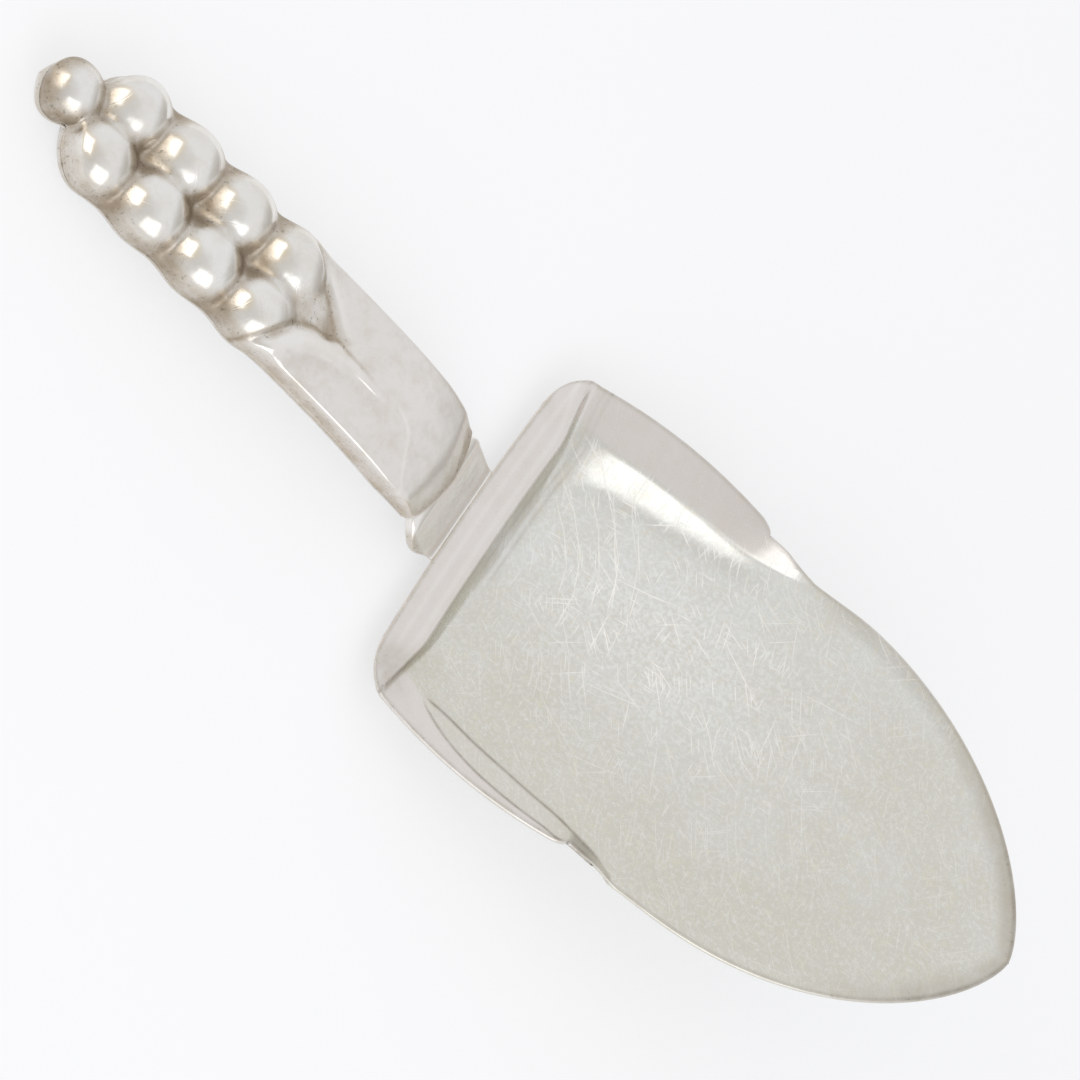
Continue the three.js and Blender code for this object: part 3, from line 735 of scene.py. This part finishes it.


# %% [markdown]
# Polished silver is a mirror with a warm tint. Clouds of tarnish, yellowish flecks and pale specks vary the
# tint, and the blade gets darker and yellower towards its front and its left side. The masks of each piece
# then place what use has done,
# with painted light and shade among it: lips with few scratches and a pinkish tint that is a painted
# reflection, bright scratches, worn rims and painted highlights, and brown dirt with a tan halo that also
# carries painted shade. Scratches and dirt are also rougher, so they mirror less.

# %% Silver
def silver_material(name, tints, layers, finish):
    """Worn silver: tinted metal, tarnish clouds, hair scratches, brown dirt and painted shade by one mask,
    and wear with painted light by another.
    """
    clean_tint, aged_tint, lip_reflection_tint, tan_tint, dirt_and_shade_tint = tints
    material = bpy.data.materials.new(name)
    material.use_nodes = True
    tree = material.node_tree
    shader = tree.nodes["Principled BSDF"]
    shader.inputs["Metallic"].default_value = 1.0
    spot = add(tree, "ShaderNodeTexCoord").outputs["Object"]
    in_mm = add(tree, "ShaderNodeVectorMath", {0: spot, 1: (1000, 1000, 1000)}, operation="MULTIPLY")
    place = in_mm.outputs[0]
    cloud = cloudy(tree, place, 0.07, 5.0)
    blotch = cloudy(tree, place, 0.3, 6.0, 0.7)
    grain = cloudy(tree, place, 1.6, 3.0, 0.7)
    crease = add(tree, "ShaderNodeAttribute", attribute_name="crease").outputs["Fac"]
    worn = add(tree, "ShaderNodeAttribute", attribute_name="worn").outputs["Fac"]
    lip = add(tree, "ShaderNodeAttribute", attribute_name="lip").outputs["Fac"]
    scraped = add(tree, "ShaderNodeAttribute", attribute_name="scraped").outputs["Fac"]

    axes = add(tree, "ShaderNodeSeparateXYZ", {"Vector": place}).outputs
    # The blade gets darker and yellower towards its front and its left side.
    front = remapped(tree, axes["X"], 25, 95, 0, finish["tone_to_front"])
    left_side = remapped(tree, axes["Y"], -24, 2, finish["tone_to_left"], 0)
    tarnish_and_tone = maths(tree, "ADD", remapped(tree, cloud, 0.38, 0.66, 0, 0.6), maths(tree, "ADD", front, left_side))
    metal = blended(tree, tarnish_and_tone, clean_tint, aged_tint)
    # Pinkish tint on the lips, the leaves and the neck: a painted reflection.
    metal = blended(tree, maths(tree, "MULTIPLY", lip, 0.9), metal, lip_reflection_tint)
    mottle = remapped(tree, blotch, 0.46, 0.72, 0, finish["mottle"])
    metal = blended(tree, mottle, metal, tan_tint)
    bare = remapped(tree, lip, 0.0, 0.8, 1.0, 0.15)
    speck = maths(tree, "MULTIPLY", bare, remapped(tree, grain, 0.48, 0.7, 0, finish["speck"]))
    metal = blended(tree, speck, metal, (0.95, 0.95, 0.93))
    spots = cloudy(tree, place, 0.7, 4.0, 0.75)
    fleck = maths(tree, "MULTIPLY", bare, remapped(tree, spots, 0.54, 0.7, 0, finish["fleck"]))
    metal = blended(tree, fleck, metal, (0.80, 0.745, 0.60))

    scratches = scratch_mask(tree, place, layers)
    reach = remapped(tree, scraped, 0.0, 0.8, finish["scratch_least"], finish["scratch_most"])
    reach = maths(tree, "MULTIPLY", reach, remapped(tree, lip, 0.2, 0.9, 1.0, 0.12))
    bright = maths(tree, "MULTIPLY", scratches, reach)
    bloom = maths(tree, "MULTIPLY", scraped, remapped(tree, grain, 0.35, 0.65, 0.1, 0.75))
    metal = blended(tree, bloom, metal, (0.93, 0.935, 0.915))
    metal = blended(tree, bright, metal, (0.99, 0.985, 0.96))
    # Lighter by the wear mask: rubbed rims and high places, painted highlights and painted light.
    metal = blended(tree, maths(tree, "MULTIPLY", worn, 0.55), metal, (0.95, 0.935, 0.90))

    # Brown dirt and painted shade by the dirt-and-shade mask, with a tan halo round it.
    patchy = remapped(tree, blotch, 0.3, 0.62, 0.6 * finish["dirt_and_shade_amount"], finish["dirt_and_shade_amount"])
    grime_and_shade = maths(tree, "MULTIPLY", crease, patchy)
    tan_part = remapped(tree, blotch, 0.35, 0.6, 0.1, 0.6)
    halo = maths(tree, "MULTIPLY", remapped(tree, crease, 0.0, 0.5), tan_part)
    metal = blended(tree, halo, metal, tan_tint)
    metal = blended(tree, grime_and_shade, metal, dirt_and_shade_tint)
    pit_reach = remapped(tree, crease, 0.08, 0.4, 0, finish["pits"])
    pits = maths(tree, "MULTIPLY", remapped(tree, grain, 0.6, 0.66), pit_reach)
    tree.links.new(blended(tree, pits, metal, (0.16, 0.15, 0.12)), shader.inputs["Base Color"])

    haze = remapped(tree, blotch, 0.3, 0.7, finish["shine"], finish["shine"] + 0.12)
    dull = maths(tree, "ADD", haze, maths(tree, "MULTIPLY", bright, 0.5))
    dull = maths(tree, "ADD", dull, maths(tree, "MULTIPLY", scraped, 0.12))
    tree.links.new(maths(tree, "ADD", dull, maths(tree, "MULTIPLY", grime_and_shade, 0.3)), shader.inputs["Roughness"])
    unevenness = cloudy(tree, place, finish["wave_scale"], 2.0)
    waves = add(tree, "ShaderNodeBump", {
        "Strength": 0.5, "Distance": finish["wave"] * MM, "Height": unevenness,
    })
    groove = add(tree, "ShaderNodeBump", {
        "Strength": 0.15, "Distance": 0.00004, "Height": scratches, "Normal": waves.outputs[0],
    }, invert=True)
    tree.links.new(groove.outputs[0], shader.inputs["Normal"])
    return material


# %% [markdown]
# Each scratch layer is a direction in degrees, a length and a width in millimetres, and the part of the
# cells that has a stroke. The blade has many, mostly slanting the way a knife is drawn over it. The handle
# has few, but more dirt and painted shade.

# %% Two kinds of silver
blade_scratches = [
    (-49, 30, 0.5, 0.04), (-66, 26, 0.5, 0.04), (-34, 30, 0.5, 0.04), (-84, 24, 0.5, 0.04),
    (15, 30, 0.5, 0.05), (-56, 20, 0.45, 0.14), (-43, 18, 0.45, 0.14), (-71, 16, 0.45, 0.14),
    (-22, 16, 0.45, 0.1), (42, 16, 0.45, 0.1),
    (-60, 8, 0.4, 0.25), (-33, 7, 0.4, 0.25), (-88, 7, 0.4, 0.25), (7, 7, 0.4, 0.2),
]
handle_scratches = [(-40, 18, 0.5, 0.2), (20, 14, 0.5, 0.2), (75, 9, 0.45, 0.3)]
blade_tints = (
    (0.77, 0.775, 0.745), (0.715, 0.695, 0.615), (0.82, 0.77, 0.735), (0.72, 0.67, 0.58), (0.36, 0.33, 0.29),
)
handle_tints = (
    (0.86, 0.845, 0.82), (0.80, 0.765, 0.71), (0.83, 0.785, 0.755), (0.66, 0.58, 0.47), (0.36, 0.29, 0.21),
)
blade_finish = {
    "tone_to_front": 0.6, "tone_to_left": 0.7, "mottle": 0.35, "speck": 0.4, "fleck": 0.6,
    "scratch_least": 0.3, "scratch_most": 1.0, "dirt_and_shade_amount": 0.9, "pits": 0.3, "shine": 0.2,
    "wave": 0.25, "wave_scale": 0.14,
}
handle_finish = {
    "tone_to_front": 0.0, "tone_to_left": 0.0, "mottle": 0.4, "speck": 0.1, "fleck": 0.25,
    "scratch_least": 0.2, "scratch_most": 0.2, "dirt_and_shade_amount": 0.95, "pits": 0.6, "shine": 0.13,
    "wave": 0.16, "wave_scale": 0.3,
}
blade_silver = silver_material("scratched_blade_silver", blade_tints, blade_scratches, blade_finish)
handle_silver = silver_material("polished_handle_silver", handle_tints, handle_scratches, handle_finish)
print("materials:", blade_silver.name, handle_silver.name)


# %% [markdown]
# ## Inside the handle
#
# The tang and the core don't show from outside. They keep the shapes of the CAD model, and get a drawn
# steel and a grey-brown cement.

# %% Steel and cement
def plain_material(name, metallic, dark, light, scale, roughness):
    """A plain material: two tones in a noise, with a roughness and a bump from the same noise."""
    material = bpy.data.materials.new(name)
    material.use_nodes = True
    tree = material.node_tree
    shader = tree.nodes["Principled BSDF"]
    shader.inputs["Metallic"].default_value = metallic
    spot = add(tree, "ShaderNodeTexCoord").outputs["Object"]
    turned = add(tree, "ShaderNodeMapping", {"Vector": spot, "Scale": scale}).outputs[0]
    noise = cloudy(tree, turned, 1.0, 6.0, 0.7)
    tree.links.new(blended(tree, noise, dark, light), shader.inputs["Base Color"])
    dull = remapped(tree, noise, 0.3, 0.7, roughness - 0.1, roughness + 0.1)
    tree.links.new(dull, shader.inputs["Roughness"])
    relief = add(tree, "ShaderNodeBump", {"Strength": 0.4, "Distance": 0.0001, "Height": noise})
    tree.links.new(relief.outputs[0], shader.inputs["Normal"])
    return material


tang_steel = plain_material(
    "drawn_tang_steel", 1.0, (0.38, 0.39, 0.40), (0.62, 0.63, 0.64), (60, 2500, 2500), 0.38,
)
core_cement = plain_material(
    "handle_cement", 0.0, (0.20, 0.16, 0.11), (0.38, 0.30, 0.23), (1200, 1200, 1200), 0.85,
)
print("materials:", tang_steel.name, core_cement.name)

# %% [markdown]
# ## Dressing the pieces
#
# Each drawn piece takes the place of its CAD solid, rides on the one body there is, and gets its finish.
# The tang and the core are the CAD solids themselves, so only their material is set.

# %% Dress the pieces
for piece, cad_name, finish in (
    (blade, "blade", blade_silver), (handle_front, "handle_front", handle_silver),
    (handle_back, "handle_back", handle_silver), (neck, "neck", handle_silver),
):
    piece.data.materials.append(finish)
    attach(piece, "root")
    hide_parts(cad_name)
for cad_name, finish in (("tang", tang_steel), ("handle_core", core_cement)):
    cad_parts[cad_name].material_slots[0].material = finish
print("dressed:", sorted(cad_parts))

# %% [markdown]
# ## Table, tent and windows
#
# The server lies on a white table inside a white tent. What a polished thing shows is its surroundings, so
# these are part of the look. The table is lit by its own colour where the camera or a mirror sees it, and
# still takes the server's shadow. It lies a hair below the server, so that no two faces share a plane.

# %% Table
floor_mesh = bpy.data.meshes.new("table")
TABLE_HALF = 1.5
TABLE_TOP = -0.1 * MM
turns = ((-1, -1), (1, -1), (1, 1), (-1, 1))
corners = [(side * TABLE_HALF, end * TABLE_HALF, TABLE_TOP) for side, end in turns]
floor_mesh.from_pydata(corners, [], [(0, 1, 2, 3)])
table = bpy.data.objects.new("table", floor_mesh)
scene.collection.objects.link(table)
table_paint = bpy.data.materials.new("table_white")
table_paint.use_nodes = True
paper = table_paint.node_tree.nodes["Principled BSDF"]
paper.inputs["Base Color"].default_value = (0.42, 0.425, 0.435, 1)
paper.inputs["Roughness"].default_value = 0.9
paper.inputs["Specular IOR Level"].default_value = 0.1
paper.inputs["Emission Color"].default_value = (0.985, 0.99, 1.0, 1)
tree = table_paint.node_tree
path = add(tree, "ShaderNodeLightPath")
seen = maths(tree, "MAXIMUM", path.outputs["Is Camera Ray"], path.outputs["Is Glossy Ray"])
seen = maths(tree, "MAXIMUM", seen, path.outputs["Is Transmission Ray"])
tree.links.new(maths(tree, "MULTIPLY", seen, 0.56), paper.inputs["Emission Strength"])
table.data.materials.append(table_paint)

# %% [markdown]
# The tent has an opening for the camera, which is a little darker. Low down, beyond the blade's right side,
# it is darker too, and that shows in the blade's back wall. A wooden frame round the window behind the
# handle gives the warm fringes of the bright patches on the grapes.

# %% Tent
tau = math.radians(37.70)
psi = math.radians(40.65)
towards = Vector((-math.sin(tau) * math.cos(psi), -math.sin(tau) * math.sin(psi), math.cos(tau)))
world = bpy.data.worlds.new("tent")
scene.world = world
world.use_nodes = True
tree = world.node_tree
sky = tree.nodes["Background"]
sky.inputs["Strength"].default_value = 0.86
direction = add(tree, "ShaderNodeTexCoord").outputs["Generated"]
facing = add(tree, "ShaderNodeVectorMath", {0: direction, 1: tuple(towards)}, operation="DOT_PRODUCT")
opening = remapped(tree, facing.outputs["Value"], math.cos(math.radians(50)), 1.0, 0, 1)
away = add(tree, "ShaderNodeVectorMath", {0: direction, 1: (0.88, 0.47, 0.06)}, operation="DOT_PRODUCT")
room_outside = math.cos(math.radians(38))
room_inside = math.cos(math.radians(12))
room = remapped(tree, away.outputs["Value"], room_outside, room_inside, 0, 1)
tent = blended(tree, opening, (0.98, 0.985, 1.0), (0.78, 0.77, 0.76))
tent = blended(tree, room, tent, (0.60, 0.58, 0.55))
behind = add(tree, "ShaderNodeVectorMath", {0: direction, 1: (-0.90, -0.05, 0.43)}, operation="DOT_PRODUCT")
wood_outside = math.cos(math.radians(42))
wood_inside = math.cos(math.radians(26))
wood = remapped(tree, behind.outputs["Value"], wood_outside, wood_inside, 0, 0.8)
tree.links.new(blended(tree, wood, tent, (0.80, 0.70, 0.54)), sky.inputs["Color"])


# %% [markdown]
# Two soft windows, one behind the handle and one beside the blade, give the bright patches on the grapes
# and along the right wall of the blade.

# %% Windows
def softbox(name, direction, distance, width, tall, radiance):
    """A soft area lamp that faces the server, with its power worked out from how bright it looks."""
    lamp = bpy.data.lights.new(name, "AREA")
    lamp.shape = "RECTANGLE"
    lamp.size = width
    lamp.size_y = tall
    lamp.energy = radiance * math.pi * width * tall
    holder = bpy.data.objects.new(name, lamp)
    scene.collection.objects.link(holder)
    aim = Vector(direction).normalized()
    turn = aim.to_track_quat("Z", "Y").to_matrix().to_4x4()
    holder.matrix_world = Matrix.Translation(aim * distance) @ turn
    print(name, "watts:", round(lamp.energy, 2))
    return holder


softbox("window_behind_handle", (-0.90, -0.05, 0.43), 0.6, 0.46, 0.36, 1.1)
softbox("window_beside_blade", (0.257, -0.745, 0.616), 0.6, 0.52, 0.50, 0.78)

# %% [markdown]
# ## Camera and end
#
# The camera looks down steeply from beside the handle, with a long lens from 0.9 m away. It is turned so
# that the server lies aslant, from the top left to the bottom right.

# %% Camera
target = Vector((back_edge + 9.76, 3.74, 8.0)) * MM
right = (Vector((0, 0, 1)) - towards * towards.z).normalized()
up = towards.cross(right)
camera_data = bpy.data.cameras.new("camera")
camera_data.sensor_width = 36.0
CAMERA_DISTANCE = 900.0
MM_PER_PIXEL = 0.14
IMAGE_PIXELS = 1080
camera_data.lens = 36.0 * CAMERA_DISTANCE / (MM_PER_PIXEL * IMAGE_PIXELS)
camera = bpy.data.objects.new("camera", camera_data)
scene.collection.objects.link(camera)
aim = Matrix((right, up, towards)).transposed().to_4x4()
camera.matrix_world = Matrix.Translation(target + towards * CAMERA_DISTANCE * MM) @ aim
scene.camera = camera
scene.view_settings.view_transform = "Standard"
